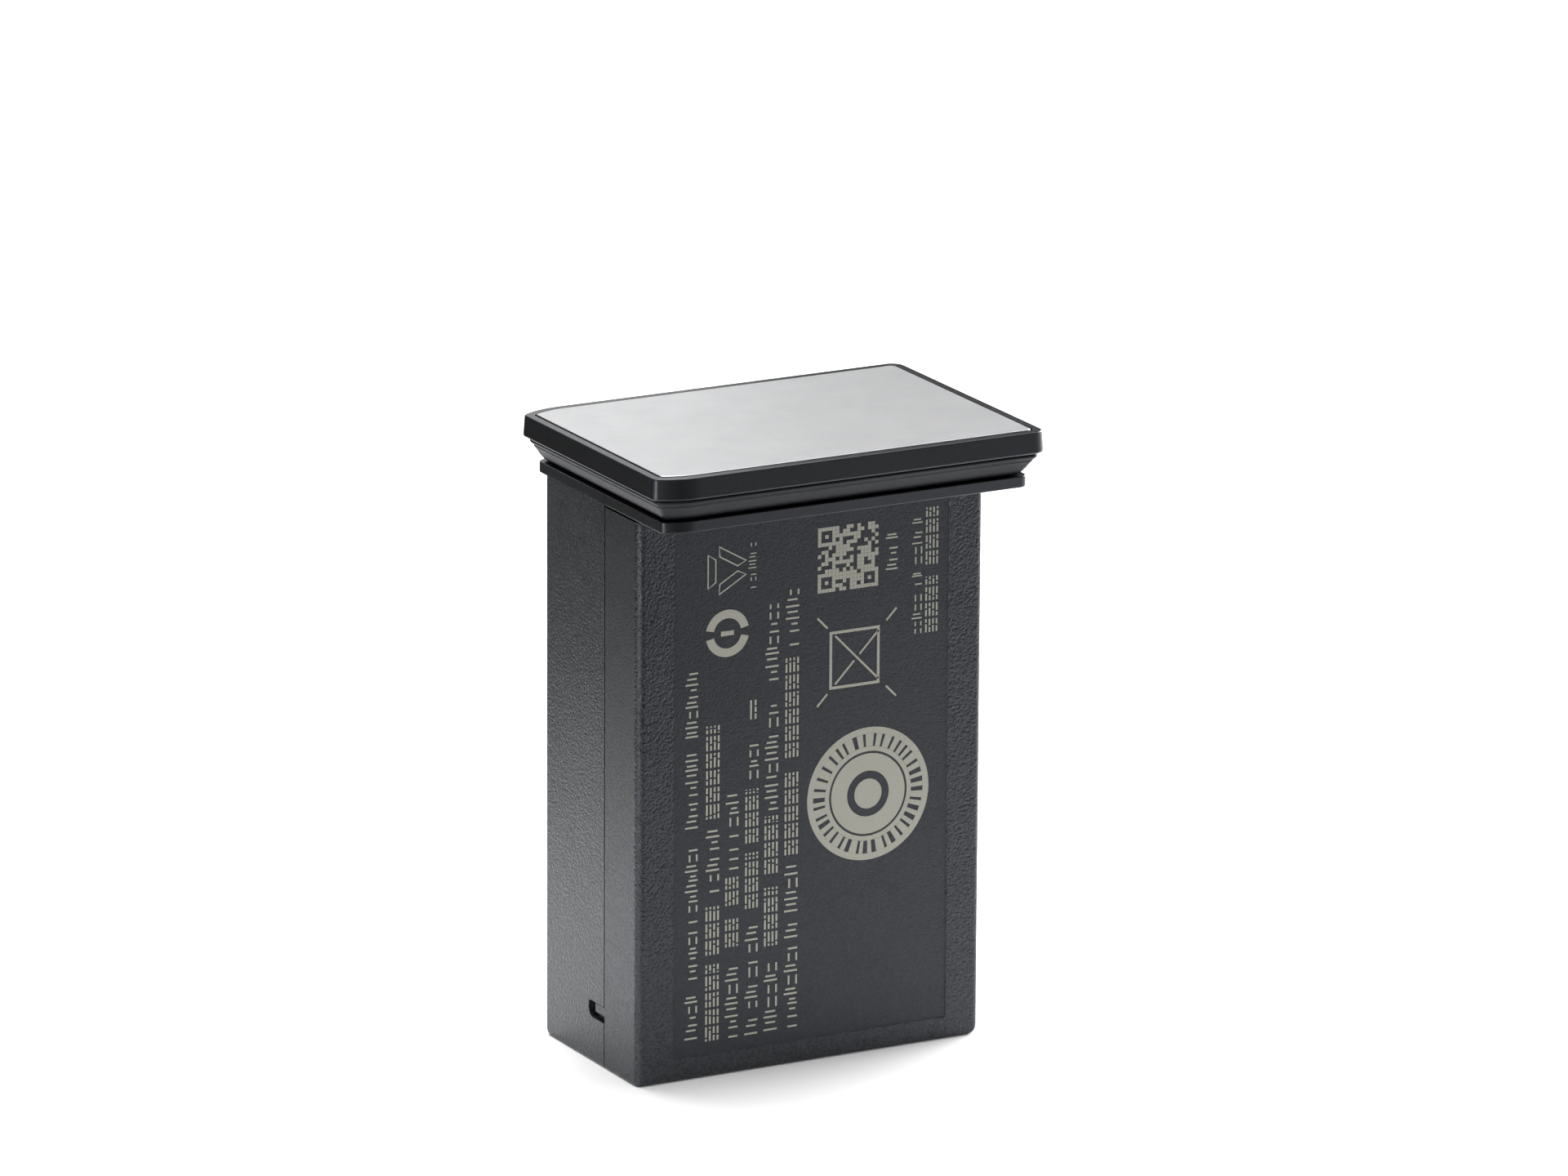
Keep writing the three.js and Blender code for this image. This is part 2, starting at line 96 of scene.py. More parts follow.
# Half sizes of a contact slot, and the part of the bottom that holds the slots.
SLOT_X, SLOT_Y = 1.05, 1.7
SLOTS_X0, SLOTS_X1, SLOTS_Y0, SLOTS_Y1 = CONTACT_BOXES[0][0][0] - 1, 8.5, 3, 7
# The sunk label field. It has no upper edge, and runs out at the top of the cover.
LABEL_X0, LABEL_X1, LABEL_Z0, LABEL_DEPTH = -15.77, 14.15, 2.3, 0.12
# Lid: half length, half depth, top, lower edge of its rim, and the curve at its left end.
LID_X, LID_Y, LID_TOP = LID_HI
LID_BOTTOM = LID_TOP - 2.13
END_R, END_RUN = 8.27, 4.67
# Degrees from which an edge is bevelled, and from which it stays a crease.
BEVEL_FROM, SHARP, SEAL_SHARP = 35.0, 38.0, 50.0
# Width of the bevel on the shells' fine edges.
FINE_BEVEL = 0.06


# ------------------------------------------------------------------ mesh tools
def piece_from(bm, name):
    """A new object from a bmesh, with its faces turned outward."""
    bmesh.ops.recalc_face_normals(bm, faces=bm.faces)
    mesh = bpy.data.meshes.new(name)
    bm.to_mesh(mesh)
    bm.free()
    obj = bpy.data.objects.new(name, mesh)
    scene.collection.objects.link(obj)
    return obj


def apply_modifiers(obj):
    graph = bpy.context.evaluated_depsgraph_get()
    made = bpy.data.meshes.new_from_object(
        obj.evaluated_get(graph), preserve_all_data_layers=True, depsgraph=graph)
    old = obj.data
    obj.modifiers.clear()
    obj.data = made
    made.name = obj.name
    bpy.data.meshes.remove(old)
    return obj


def combine(obj, cutter, operation):
    mod = obj.modifiers.new("combine", "BOOLEAN")
    mod.operation = operation
    mod.solver = "EXACT"
    mod.object = cutter
    apply_modifiers(obj)
    mesh = cutter.data
    bpy.data.objects.remove(cutter)
    bpy.data.meshes.remove(mesh)
    return obj


def block(name, x0, x1, y0, y1, z0, z1):
    bm = bmesh.new()
    bmesh.ops.create_cube(bm, size=1)
    for v in bm.verts:
        v.co = Vector((
            x0 if v.co.x < 0 else x1, y0 if v.co.y < 0 else y1, z0 if v.co.z < 0 else z1))
    return piece_from(bm, name)


def bevel_by_weight(obj, weigh, width, segments):
    """Bevels each outer edge by width times the weight that weigh(a, b) gives it, from its
    two ends."""
    bm = bmesh.new()
    bm.from_mesh(obj.data)
    layer = bm.edges.layers.float.get("bevel_weight_edge")
    if layer is None:
        layer = bm.edges.layers.float.new("bevel_weight_edge")
    for e in bm.edges:
        e[layer] = 0.0
        if len(e.link_faces) == 2:
            n0, n1 = (f.normal for f in e.link_faces)
            if e.is_convex and n0.angle(n1, 0.0) > math.radians(BEVEL_FROM):
                e[layer] = weigh(e.verts[0].co, e.verts[1].co)
    bm.to_mesh(obj.data)
    bm.free()
    mod = obj.modifiers.new("bevel", "BEVEL")
    mod.limit_method = "WEIGHT"
    mod.width = width
    mod.segments = segments
    mod.use_clamp_overlap = True
    return apply_modifiers(obj)


def finish_piece(obj, sharp_deg=SHARP):
    """Smooth shading with sharp creases and weighted normals, then millimetres to metres."""
    bm = bmesh.new()
    bm.from_mesh(obj.data)
    bmesh.ops.remove_doubles(bm, verts=bm.verts, dist=1e-5)
    for f in bm.faces:
        f.smooth = True
    for e in bm.edges:
        if len(e.link_faces) == 2:
            e.smooth = e.calc_face_angle(0.0) < math.radians(sharp_deg)
    bm.to_mesh(obj.data)
    bm.free()
    mod = obj.modifiers.new("weighted", "WEIGHTED_NORMAL")
    mod.keep_sharp = True
    mod.weight = 60
    apply_modifiers(obj)
    obj.data.transform(Matrix.Scale(MM, 4))
    obj.data.update()
    return obj


def paint(obj, *materials):
    obj.data.materials.clear()
    for m in materials:
        obj.data.materials.append(m)


def place(obj, stands_for=()):
    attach(obj, "root")
    if stands_for:
        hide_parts(*stands_for)
    return obj


def rounded(points, radii, steps):
    """An open polyline of (a, b) points with each inner corner turned into an arc."""
    out = [points[0]]
    for i in range(1, len(points) - 1):
        r = radii[i]
        p = Vector(points[i])
        a = (Vector(points[i - 1]) - p).normalized()
        b = (Vector(points[i + 1]) - p).normalized()
        if r <= 0:
            out.append(tuple(p))
            continue
        half = a.angle(b) / 2
        reach = r / math.tan(half)
        centre = p + (a + b).normalized() * (r / math.sin(half))
        s, e = p + a * reach - centre, p + b * reach - centre
        sweep = math.pi - 2 * half
        turn = 1 if s.x * e.y - s.y * e.x > 0 else -1
        for k in range(steps + 1):
            t = turn * sweep * k / steps
            c, d = math.cos(t), math.sin(t)
            out.append((centre.x + c * s.x - d * s.y, centre.y + d * s.x + c * s.y))
    out.append(points[-1])
    return out


def lid_outline(inset, corner, end_corner):
    """The lid's outline, offset inward. The right end has plain round corners. At the left
    end both long sides curve inward to a short straight end."""
    corner_steps, curve_steps, end_steps = 10, 22, 8
    xl, xr, yb = -LID_X + inset, LID_X - inset, LID_Y - inset
    big = END_R - inset
    ax, ay = -LID_X + END_RUN, LID_Y - END_R
    fx = xl + end_corner
    fy = ay + math.sqrt((big - end_corner) ** 2 - (fx - ax) ** 2)
    join = math.atan2(fy - ay, fx - ax)
    half = []
    for k in range(corner_steps + 1):
        a = k / corner_steps * math.pi / 2
        half.append((xr - corner + corner * math.cos(a), yb - corner + corner * math.sin(a)))
    for k in range(curve_steps + 1):
        a = math.pi / 2 + k / curve_steps * (join - math.pi / 2)
        half.append((ax + big * math.cos(a), ay + big * math.sin(a)))
    for k in range(1, end_steps + 1):
        a = join + k / end_steps * (math.pi - join)
        half.append((fx + end_corner * math.cos(a), fy + end_corner * math.sin(a)))
    return half + [(x, -y) for x, y in reversed(half)]


def skin(bm, rings, closed=False):
    """Quads between rings of one point count, with end caps unless closed."""
    loops = [[bm.verts.new(p) for p in ring] for ring in rings]
    n = len(rings[0])
    last = len(loops) if closed else len(loops) - 1
    for i in range(last):
        a, b = loops[i], loops[(i + 1) % len(loops)]
        for k in range(n):
            j = (k + 1) % n
            bm.faces.new((a[k], a[j], b[j], b[k]))
    if not closed:
        bm.faces.new(list(reversed(loops[0])))
        bm.faces.new(loops[-1])


def corner_radii(inset):
    """Radii of the right corners and of the left end's corners at an inset of the lid."""
    knots = [0.0, 0.17, 1.01, 1.21, 1.4, 3.5]
    return (float(np.interp(inset, knots, [1.5, 1.33, 0.7, 0.55, 0.9, 0.8])),
            float(np.interp(inset, knots, [1.0, 0.75, 0.5, 0.42, 0.7, 0.6])))


def plate_from_profile(name, profile, radii_of=corner_radii, closed=False):
    """A lofted piece: profile is a list of (inset, z)."""
    bm = bmesh.new()
    skin(bm, [[(x, y, z) for x, y in lid_outline(i, *radii_of(i))] for i, z in profile], closed)
    return piece_from(bm, name)


# ------------------------------------------------------------------ materials
class Nodes:
    """Small helper to wire a node material."""

    def __init__(self, name):
        self.material = bpy.data.materials.new(name)
        self.material.use_nodes = True
        self.tree = self.material.node_tree
        self.tree.nodes.clear()
        self.out = self.tree.nodes.new("ShaderNodeOutputMaterial")
        self.bsdf = self.tree.nodes.new("ShaderNodeBsdfPrincipled")
        self.link(self.bsdf.outputs[0], self.out.inputs[0])
        self.place = self.tree.nodes.new("ShaderNodeTexCoord").outputs["Object"]

    def link(self, a, b):
        self.tree.links.new(a, b)

    def set(self, **values):
        for key, value in values.items():
            self.bsdf.inputs[key.replace("_", " ")].default_value = value

    def stretched(self, sx, sy, sz):
        m = self.tree.nodes.new("ShaderNodeMapping")
        m.inputs["Scale"].default_value = (sx, sy, sz)
        self.link(self.place, m.inputs["Vector"])
        return m.outputs[0]

    def noise(self, scale, detail, rough, source=None):
        n = self.tree.nodes.new("ShaderNodeTexNoise")
        n.inputs["Scale"].default_value = scale
        n.inputs["Detail"].default_value = detail
        n.inputs["Roughness"].default_value = rough
        self.link(source or self.place, n.inputs["Vector"])
        return n.outputs["Fac"]

    def cells(self, scale):
        n = self.tree.nodes.new("ShaderNodeTexVoronoi")
        n.feature = "SMOOTH_F1"
        n.inputs["Scale"].default_value = scale
        self.link(self.place, n.inputs["Vector"])
        return n.outputs["Distance"]

    def mix(self, a, share_a, b, share_b):
        """The sum of two outputs, each times its share."""
        parts = []
        for output, share in ((a, share_a), (b, share_b)):
            n = self.tree.nodes.new("ShaderNodeMath")
            n.operation = "MULTIPLY"
            n.inputs[1].default_value = share
            self.link(output, n.inputs[0])
            parts.append(n.outputs[0])
        total = self.tree.nodes.new("ShaderNodeMath")
        total.operation = "ADD"
        for output, socket in zip(parts, total.inputs):
            self.link(output, socket)
        return total.outputs[0]

    def ramp(self, source, *stops):
        n = self.tree.nodes.new("ShaderNodeValToRGB")
        while len(n.color_ramp.elements) < len(stops):
            n.color_ramp.elements.new(0.5)
        for e, (pos, col) in zip(n.color_ramp.elements, stops):
            e.position = pos
            e.color = (*col, 1) if isinstance(col, tuple) else (col, col, col, 1)
        self.link(source, n.inputs[0])
        return n.outputs[0]

    def colour(self, source, *stops):
        self.link(self.ramp(source, *stops), self.bsdf.inputs["Base Color"])

    def roughness(self, source, low, high):
        r = self.ramp(source, (0.3, low), (0.7, high))
        self.link(r, self.bsdf.inputs["Roughness"])

    def bump(self, height, depth_mm):
        n = self.tree.nodes.new("ShaderNodeBump")
        n.inputs["Distance"].default_value = depth_mm * MM
        n.inputs["Strength"].default_value = 1.0
        self.link(height, n.inputs["Height"])
        self.link(n.outputs[0], self.bsdf.inputs["Normal"])


# A painted cool tint on the reflections of the moulded plastics and the rubber. Their own gloss
# has no colour.
COOL_REFLECTION_TINT = (0.84, 0.90, 1.0, 1.0)


def moulded(name, tint, grain_mm, depth_mm, rough, spread=0.08, contrast=0.18):
    """Spark-eroded moulded plastic: rounded pits and peaks of about grain_mm, with flecks that
    are darker and lighter than the tint by about contrast."""
    n = Nodes(name)
    per_m = 1.0 / (grain_mm * MM)
    fine = n.noise(per_m * 0.55, 2.0, 0.6)
    peaks = n.cells(per_m * 0.8)
    patch = n.noise(160.0, 3.0, 0.6)
    fleck = n.noise(per_m * 0.9, 1.0, 0.5)
    low = tuple(c * (1 - contrast) for c in tint)
    high = tuple(c * (1 + 1.1 * contrast) for c in tint)
    n.colour(n.mix(fleck, 0.75, patch, 0.25), (0.36, low), (0.62, high))
    n.roughness(fine, rough - spread, rough + spread)
    n.bump(n.mix(fine, 1.4, peaks, -0.8), depth_mm)
    n.set(IOR=1.52, Specular_Tint=COOL_REFLECTION_TINT)
    return n.material


CHARCOAL, LABEL_BLACK = (0.0165, 0.017, 0.0185), (0.0115, 0.012, 0.0135)
# Tint, grain and depth in mm, roughness and its spread, contrast of the flecks.
shell_rear = moulded("shell_rear_grain", CHARCOAL, 0.17, 0.042, 0.42, 0.09, 0.5)
shell_side = moulded("shell_side_fine_grain", CHARCOAL, 0.13, 0.018, 0.45, 0.08, 0.35)
shell_border = moulded("shell_border_coarse_grain", CHARCOAL, 0.18, 0.062, 0.37, 0.10, 0.7)
shell_label = moulded("label_field_fine_grain", LABEL_BLACK, 0.14, 0.027, 0.47, 0.08, 0.35)
flange_satin = moulded("flange_satin", (0.0105, 0.0108, 0.0115), 0.12, 0.004, 0.33, 0.04)
lid_satin = moulded("lid_frame_satin", (0.0095, 0.0098, 0.0105), 0.12, 0.004, 0.33, 0.04)


def rubber():
    n = Nodes("seal_rubber")
    fine = n.noise(9000.0, 2.0, 0.6)
    patch = n.noise(220.0, 3.0, 0.6)
    n.colour(patch, (0.35, (0.0115, 0.0117, 0.0125)), (0.65, (0.0155, 0.0157, 0.017)))
    n.roughness(fine, 0.46, 0.56)
    n.bump(fine, 0.003)
    n.set(IOR=1.4, Specular_Tint=COOL_REFLECTION_TINT)
    return n.material


def aluminium():
    n = Nodes("panel_bead_blasted")
    fine = n.noise(7000.0, 2.0, 0.65)
    patch = n.noise(300.0, 3.0, 0.6)
    n.colour(n.mix(fine, 0.6, patch, 0.4),
             (0.35, (0.36, 0.362, 0.367)), (0.65, (0.42, 0.422, 0.427)))
    n.roughness(fine, 0.40, 0.50)
    n.bump(fine, 0.009)
    n.set(Metallic=1.0)
    return n.material


def print_ink():
    n = Nodes("print_ink")
    fine = n.noise(8000.0, 3.0, 0.7)
    n.colour(fine, (0.30, (0.36, 0.355, 0.30)), (0.60, (0.46, 0.455, 0.39)))
    n.roughness(fine, 0.5, 0.65)
    n.bump(fine, 0.006)
    return n.material


seal_mat, panel_mat, ink_mat = rubber(), aluminium(), print_ink()


# ------------------------------------------------------------------ camera, lights, floor
# The camera's turn to the right, tilt down and roll, its lens and sensor in mm, its distance
# in metres from its aim, and how far the aim lies from the middle of the object, in mm.
VIEW_YAW, VIEW_PITCH, VIEW_ROLL = (math.radians(a) for a in (28.379, 15.650, 0.335))
LENS, SENSOR = 255.74, 36.0
VIEW_DISTANCE = 1.08124
AIM_FROM_MIDDLE = (2.081, 3.130, 13.361)


def make_camera():
    yaw, pitch, roll = VIEW_YAW, VIEW_PITCH, VIEW_ROLL
    forward = Vector((math.sin(yaw) * math.cos(pitch), math.cos(yaw) * math.cos(pitch),
                      -math.sin(pitch)))
    right = Vector((math.cos(yaw), -math.sin(yaw), 0))
    up = right.cross(forward)
    r0 = right * math.cos(roll) + up * math.sin(roll)
    u0 = up * math.cos(roll) - right * math.sin(roll)
    centre = (CAD_BOX[0] + CAD_BOX[1]) / 2
    aim = centre + Vector(AIM_FROM_MIDDLE) * MM
    data = bpy.data.cameras.new("camera")
    data.sensor_width = SENSOR
    data.lens = LENS
    data.clip_start, data.clip_end = 0.05, 50.0
    cam = bpy.data.objects.new("camera", data)
    cam.matrix_world = Matrix((
        (r0.x, u0.x, -forward.x, 0), (r0.y, u0.y, -forward.y, 0),
        (r0.z, u0.z, -forward.z, 0), (0, 0, 0, 1)))
    cam.location = aim - forward * VIEW_DISTANCE
    scene.collection.objects.link(cam)
    scene.camera = cam


MIDDLE = (0, 0, 0.03)


def area_light(name, azimuth, elevation, distance, width, height, power, aim=MIDDLE):
    """A soft box turned to its aim. Azimuth is measured from -Y toward +X."""
    a, e = math.radians(azimuth), math.radians(elevation)
    away = Vector((math.sin(a) * math.cos(e), -math.cos(a) * math.cos(e), math.sin(e)))
    data = bpy.data.lights.new(name, "AREA")
    data.shape = "RECTANGLE"
    data.size, data.size_y = width, height
    data.energy = power
    obj = bpy.data.objects.new(name, data)
    obj.location = Vector(aim) + away * distance
    obj.rotation_mode = "QUATERNION"
    obj.rotation_quaternion = (-away).to_track_quat("-Z", "Y")
    obj.visible_camera = False
    scene.collection.objects.link(obj)


def stage_point(across, along, up=0.0):
    """A place on the set: across to the camera's right, along away from it, and up."""
    c, s = math.cos(VIEW_YAW), math.sin(VIEW_YAW)
    return across * c + along * s, along * c - across * s, up


# Corners of the black cards: across, along, up.
LEFT_CARD = [(-0.095, -0.04, 0), (-0.095, 0.26, 0), (-0.095, 0.26, 0.12), (-0.095, -0.04, 0.12)]
FRONT_CARD = [(0.0, -0.06, 0.0003), (0.05, -0.06, 0.0003), (0.22, -0.19, 0.0003),
              (0.22, -0.5, 0.0003), (0.03, -0.5, 0.0003)]
# Soft boxes round the set: azimuth, elevation, distance, width, height, power, and the aim
# where it isn't the middle of the object.
SOFT_BOXES = [
    ("behind_right", 110, 20, 0.5, 0.35, 0.3, 5.4),
    ("left_low", -85, 8, 0.5, 0.12, 0.2, 0.15),
    ("behind_left", 172, 16, 0.5, 0.2, 0.2, 0.3),
    ("panel", 160, 17, 0.16, 0.07, 0.04, 0.0135, (-0.018, 0, 0.0623)),
    ("near_left", -62, 2, 0.22, 0.06, 0.03, 0.10, (0, 0, 0.02)),
]
# Soft boxes that face down: across, along, height, size, power.
OVERHEAD = [
    ("over", 0.0, 0.0, 0.35, 0.2, 1.1),
    ("over_back", 0.0, 0.22, 0.35, 0.2, 0.64),
    ("over_right", 0.16, -0.02, 0.35, 0.2, 0.10),
    ("over_left", -0.05, 0.0, 0.35, 0.2, 0.2),
    ("lane", -0.052, 0.025, 0.06, 0.04, 0.04),
    ("lane_far", -0.075, 0.12, 0.12, 0.06, 0.015),
]
# Just short of 90 degrees, so that a box overhead still has a defined turn.
STRAIGHT_UP = 89.9
WORLD = 0.04
FLOOR_GLOW = 0.10
FLOOR_HALF = 3.0
# The floor lies this far under the object's foot, so that the two don't coincide.
FLOOR_DROP = 0.00002


def make_black_cards():
    """Black cards that the camera doesn't see: one upright beside the object and one flat in
    front. They darken what the left side and the smooth front edges reflect."""
    n = Nodes("card_black")
    n.set(Base_Color=(0.01, 0.01, 0.01, 1), Roughness=0.9)
    cards = [("left_card", LEFT_CARD, True), ("front_card", FRONT_CARD, False)]
    for name, corners, casts_shadow in cards:
        bm = bmesh.new()
        bm.faces.new([bm.verts.new(stage_point(*c)) for c in corners])
        card = piece_from(bm, name)
        card.data.materials.append(n.material)
        card.visible_camera = False
        card.visible_shadow = casts_shadow


def make_stage():
    for row in SOFT_BOXES:
        area_light(*row)
    for name, across, along, high, size, power in OVERHEAD:
        area_light(name, 0, STRAIGHT_UP, high, size, size, power, stage_point(across, along))
    world = bpy.data.worlds.new("studio")
    world.use_nodes = True
    background = world.node_tree.nodes["Background"]
    background.inputs[0].default_value = (1, 1, 1, 1)
    background.inputs[1].default_value = WORLD
    scene.world = world
    bm = bmesh.new()
    bmesh.ops.create_grid(bm, x_segments=8, y_segments=8, size=FLOOR_HALF)
    mesh = bpy.data.meshes.new("floor")
    bm.to_mesh(mesh)
    bm.free()
    floor = bpy.data.objects.new("floor", mesh)
    floor.location.z = -FLOOR_DROP
    scene.collection.objects.link(floor)
    n = Nodes("floor_white")
    n.set(Base_Color=(0.86, 0.86, 0.86, 1), Roughness=0.9)
    n.set(Emission_Color=(1, 1, 1, 1), Emission_Strength=FLOOR_GLOW)
    n.bsdf.inputs["Specular IOR Level"].default_value = 0.1
    mesh.materials.append(n.material)
    make_black_cards()
    scene.view_settings.view_transform = "Standard"
    scene.view_settings.look = "None"


make_camera()
make_stage()


# ------------------------------------------------------------------ lid
def make_lid_frame():
    # Inset and z: the panel's pocket, the rim over its outer side, and the underside.
    profile = rounded(
        [(1.01, 61.3), (1.01, LID_TOP), (0.17, LID_TOP), (0.0, LID_BOTTOM),
         (3.5, LID_BOTTOM), (3.5, LID_LO[2])],
        [0, 0.05, 0.13, 0.2, 0, 0], 5)
    obj = plate_from_profile("lid_frame_moulding", profile)
    finish_piece(obj)
    paint(obj, lid_satin)
    return place(obj, ["lid_frame"])


def make_panel():
    inset = LID_X - PANEL_HI[0]
    low, high = PANEL_LO[2], PANEL_HI[2]
    profile = rounded([(inset, low), (inset, high), (inset + 2, high)], [0, 0.09, 0], 4)
    obj = plate_from_profile("lid_panel_sheet", profile[:-1])
    finish_piece(obj)
    paint(obj, panel_mat)
    return place(obj, ["lid_panel"])


# The seal's outer side, from the lid down: inset from the lid's outline, and z.
SEAL_PROFILE = [
    (0.9, 60.08), (0.7, 59.98), (0.61, 59.82), (0.61, 59.66), (0.72, 59.48), (0.93, 59.36),
    (0.92, 59.2), (1.06, 59.02), (1.22, 58.76), (1.44, 58.38), (1.66, 58.06), (1.9, 57.84),
    (2.15, 57.74)]
SEAL_INNER = 3.45


def smooth_line(points):
    """Cuts the corners of an open polyline twice, and keeps its ends."""
    for _ in range(2):
        made = [points[0]]
        for a, b in zip(points, points[1:]):
            made.append((0.75 * a[0] + 0.25 * b[0], 0.75 * a[1] + 0.25 * b[1]))
            made.append((0.25 * a[0] + 0.75 * b[0], 0.25 * a[1] + 0.75 * b[1]))
        made.append(points[-1])
        points = made
    return points


def make_seal():
    profile = smooth_line(SEAL_PROFILE)
    profile += [(SEAL_INNER, SEAL_LO[2]), (SEAL_INNER, SEAL_HI[2])]
    obj = plate_from_profile(
        "lid_seal_rubber", profile, lambda i: (max(1.5 - i, 0.8), 0.7), closed=True)
    finish_piece(obj, SEAL_SHARP)
    paint(obj, seal_mat)
    return place(obj, ["lid_seal"])


# ------------------------------------------------------------------ shells
# A point this near to a face counts as on it.
NEAR = 0.01


def outer_block(name, y0, y1, top, front_foot, rear_foot):
    """A body block with round upright edges on its outer side and a rounded foot.
    front_foot or rear_foot is 0 on the side that meets the seam."""
    obj = block(name, X0, X1, y0, y1, 0, top)
    widest, upright, left_foot = 1.2, 0.8, 0.4

    def weigh(a, b):
        m = (a + b) / 2
        if abs(a.z - b.z) > 1:
            outer = m.y < y0 + NEAR if front_foot else m.y > y1 - NEAR
            return upright / widest if outer else 0.0
        if m.z > NEAR:
            return 0.0
        if m.x > X1 - NEAR:
            return 1.0
        if m.x < X0 + NEAR:
            return left_foot / widest
        if m.y < y0 + NEAR:
            return front_foot / widest
        return rear_foot / widest

    return bevel_by_weight(obj, weigh, widest, 8)


def at_outside(p):
    """Whether a point of the seam lies near the body's outer surface."""
    return min(p.x - X0, X1 - p.x, p.z) < 0.5


def lip_ring(outer, inner, start, end):
    """A closed frame along the seam, between two distances inward from the outside."""
    def layer(name, inset, y0, y1):
        return block(name, X0 + inset, X1 - inset, y0, y1, inset, CAVITY_TOP + WALL - inset)

    return combine(layer("ring", outer, start, end), layer("hole", inner, start - 1, end + 2),
                   "DIFFERENCE")


def make_flange():
    profile = rounded(
        [(FLANGE_INSET + 2, FLANGE_Z0), (FLANGE_INSET, FLANGE_Z0), (FLANGE_INSET, FLANGE_Z1),
         (FLANGE_INSET + 2, FLANGE_Z1)], [0, 0.14, 0.1, 0], 4)
    return plate_from_profile("flange", profile[1:-1])


def make_rear_shell():
    y0 = REAR_FACE_Y
    obj = outer_block("rear_shell_moulding", y0, Y1, FLANGE_Z0 + 0.6, 0, 1.0)
    combine(obj, make_flange(), "UNION")
    cavity = block("cavity", X0 + WALL, X1 - WALL, y0 - 1, Y1 - WALL, WALL, CAVITY_TOP)
    combine(obj, cavity, "DIFFERENCE")
    groove = lip_ring(LIP_OUT - LIP_PLAY, WALL + 0.1, y0 - 1, LIP_Y1 + 0.1)
    combine(obj, groove, "DIFFERENCE")
    boss = block("boss", X0 + WALL - 0.2, X0 + 2.2, LIP_Y1 + 0.15, 3.6, 3.2, 7.2)
    combine(obj, boss, "UNION")
    pocket = block("pocket", X0 + LIP_OUT - LIP_PLAY, X0 + 1.3, y0 - 1, TONGUE_Y1 + 0.1,
                   TONGUE_Z0 - 0.1, TONGUE_Z1 + 0.1)
    combine(obj, pocket, "DIFFERENCE")
    combine(obj, window_cutter(y0), "DIFFERENCE")
    for lo, hi in CONTACT_BOXES:
        x, y = (lo[0] + hi[0]) / 2, (lo[1] + hi[1]) / 2
        slot = block("slot", x - SLOT_X, x + SLOT_X, y - SLOT_Y, y + SLOT_Y, -1, WALL + 0.5)
        combine(obj, slot, "DIFFERENCE")

    def weigh(a, b):
        m = (a + b) / 2
        if abs(a.y - y0) < NEAR and abs(b.y - y0) < NEAR:
            return 1.0 if at_outside(m) and m.z < FLANGE_Z0 else 0.0
        on_left = abs(a.x - X0) < NEAR and abs(b.x - X0) < NEAR
        if on_left and y0 - NEAR < m.y < WINDOW_Y1 + 0.1 and m.z < WINDOW_Z1 + 1.8:
            return 1.0
        in_slots = SLOTS_X0 < m.x < SLOTS_X1 and SLOTS_Y0 < m.y < SLOTS_Y1
        return 1.0 if in_slots and a.z < NEAR and b.z < NEAR else 0.0

    bevel_by_weight(obj, weigh, FINE_BEVEL, 2)
    finish_piece(obj)
    paint(obj, shell_rear, flange_satin)
    for f in obj.data.polygons:
        if f.center.z > (FLANGE_Z0 - 0.005) * MM:
            f.material_index = 1
    return place(obj, ["rear_shell"])


def window_cutter(y0):
    """The snap window's outline in the YZ plane, pushed through the left wall."""
    pts = rounded(
        [(y0 - 1, WINDOW_Z0), (WINDOW_Y1, WINDOW_Z0), (WINDOW_Y1, WINDOW_Z1),
         (y0 - 1, WINDOW_Z1)], [0, 0.85, 0.35, 0], 8)
    bm = bmesh.new()
    skin(bm, [[(x, y, z) for y, z in pts] for x in (X0 - 1, X0 + 1.3)])
    return piece_from(bm, "window")


def make_catch():
    """The snap catch that fills most of the window, with round outer edges."""
    obj = block("catch", X0, X0 + LIP_OUT + 0.2, COVER_FACE_Y - 0.3, CATCH_Y1, CATCH_Z0, CATCH_Z1)

    def weigh(a, b):
        outside = max(a.x, b.x) < X0 + NEAR
        at_end = min(a.y, b.y) > CATCH_Y1 - NEAR
        at_foot = max(a.z, b.z) < CATCH_Z0 + NEAR
        return 1.0 if outside and (at_end or at_foot) else 0.0

    return bevel_by_weight(obj, weigh, 0.4, 6)


def make_front_cover():
    y1 = COVER_FACE_Y
    obj = outer_block("front_cover_moulding", Y0, y1, COVER_TOP, 0.35, 0)
    cavity = block("cavity", X0 + WALL, X1 - WALL, Y0 + WALL, 40, WALL, CAVITY_TOP)
    combine(obj, cavity, "DIFFERENCE")
    combine(obj, label_cutter(), "DIFFERENCE")
    combine(obj, lip_ring(LIP_OUT, LIP_IN, y1 - 0.5, LIP_Y1), "UNION")
    tongue = block("tongue", X0 + LIP_OUT + 0.01, X0 + LIP_IN - 0.08, y1 - 0.4, TONGUE_Y1,
                   TONGUE_Z0, TONGUE_Z1)
    combine(obj, tongue, "UNION")
    combine(obj, make_catch(), "UNION")

    def weigh(a, b):
        m = (a + b) / 2
        if abs(a.y - y1) < NEAR and abs(b.y - y1) < NEAR:
            return 1.0 if at_outside(m) else 0.0
        at_top = a.z > COVER_TOP - NEAR and b.z > COVER_TOP - NEAR and m.y < y1 + NEAR
        return 1.0 if at_top else 0.0

    bevel_by_weight(obj, weigh, FINE_BEVEL, 2)
    finish_piece(obj)
    paint(obj, shell_border, shell_side, shell_label)
    for f in obj.data.polygons:
        c = f.center / MM
        in_field = LABEL_X0 < c.x < LABEL_X1 and c.z > LABEL_Z0
        if in_field and Y0 + LABEL_DEPTH / 2 < c.y < Y0 + LABEL_DEPTH + 0.02:
            f.material_index = 2
        elif c.y > Y0 + 0.85:
            f.material_index = 1
    return place(obj, ["front_cover"])


